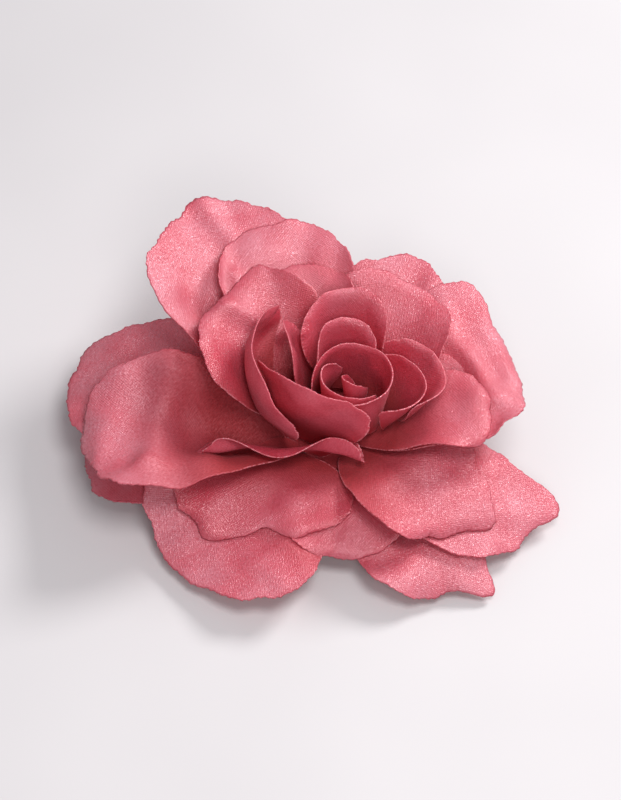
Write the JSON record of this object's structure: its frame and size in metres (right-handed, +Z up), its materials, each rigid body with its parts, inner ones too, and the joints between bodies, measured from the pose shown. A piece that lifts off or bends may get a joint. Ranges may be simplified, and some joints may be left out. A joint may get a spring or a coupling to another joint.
{
  "type": "flower hair clip",
  "caption": "Fabric rose hair accessory: layered satin petals on a felt disc, glued to a sprung alligator clip whose jaw hinges open to grip hair.",
  "frame": {"origin": "on the resting plane, on the flat underside of the clip's jaw, under the middle of the flower", "axes": "+X from the clip's finger tabs to its tips, +Y towards the flower's back petals, +Z up out of the bud"},
  "size_m": [0.1127, 0.0938, 0.0396],
  "materials": {
    "satin": "starched dusty rose polyester satin with a soft sheen and hot-cut edges",
    "felt": "pressed craft felt",
    "nickel_steel": "bright nickel plate",
    "spring_steel": "drawn wire",
    "plastic": "moulded polyethylene",
    "hot_glue": "set hot-melt glue"
  },
  "bodies": {
    "flower": {"clip_plate": "nickel_steel", "hinge_pin": "nickel_steel", "torsion_spring": "spring_steel", "glue_pad": "hot_glue", "felt_disc": "felt", "receptacle": "plastic", "stem_peg": "plastic", "bud_core": "plastic", "bud_heart": "satin", "bud_front": "satin", "bud_outer": "satin", "bud_back": "satin", "inner_right_small": "satin", "inner_back": "satin", "inner_right": "satin", "inner_front": "satin", "inner_back_left": "satin", "inner_left": "satin", "third_back_left": "satin", "third_back": "satin", "third_front": "satin", "third_back_right": "satin", "third_right": "satin", "third_right_back": "satin", "second_back": "satin", "second_right": "satin", "second_front_right": "satin", "second_left": "satin", "second_front_left": "satin", "second_front": "satin", "outer_back_left": "satin", "outer_back_right": "satin", "outer_right": "satin", "outer_front_right": "satin", "outer_front_left": "satin", "outer_left": "satin", "outer_lower_left": "satin"},
    "jaw": {"clip_jaw": "nickel_steel"}
  },
  "joints": [
    {"name": "jaw_hinge", "type": "hinge", "parent": "flower", "child": "jaw", "pos_m": [-0.01, 0, 0.0035], "axis": [0, 1, 0], "range_deg": [0, 25], "stiffness_Nm_per_rad": 0.05, "springref_deg": -57.3, "deforming": ["torsion_spring"]}
  ]
}
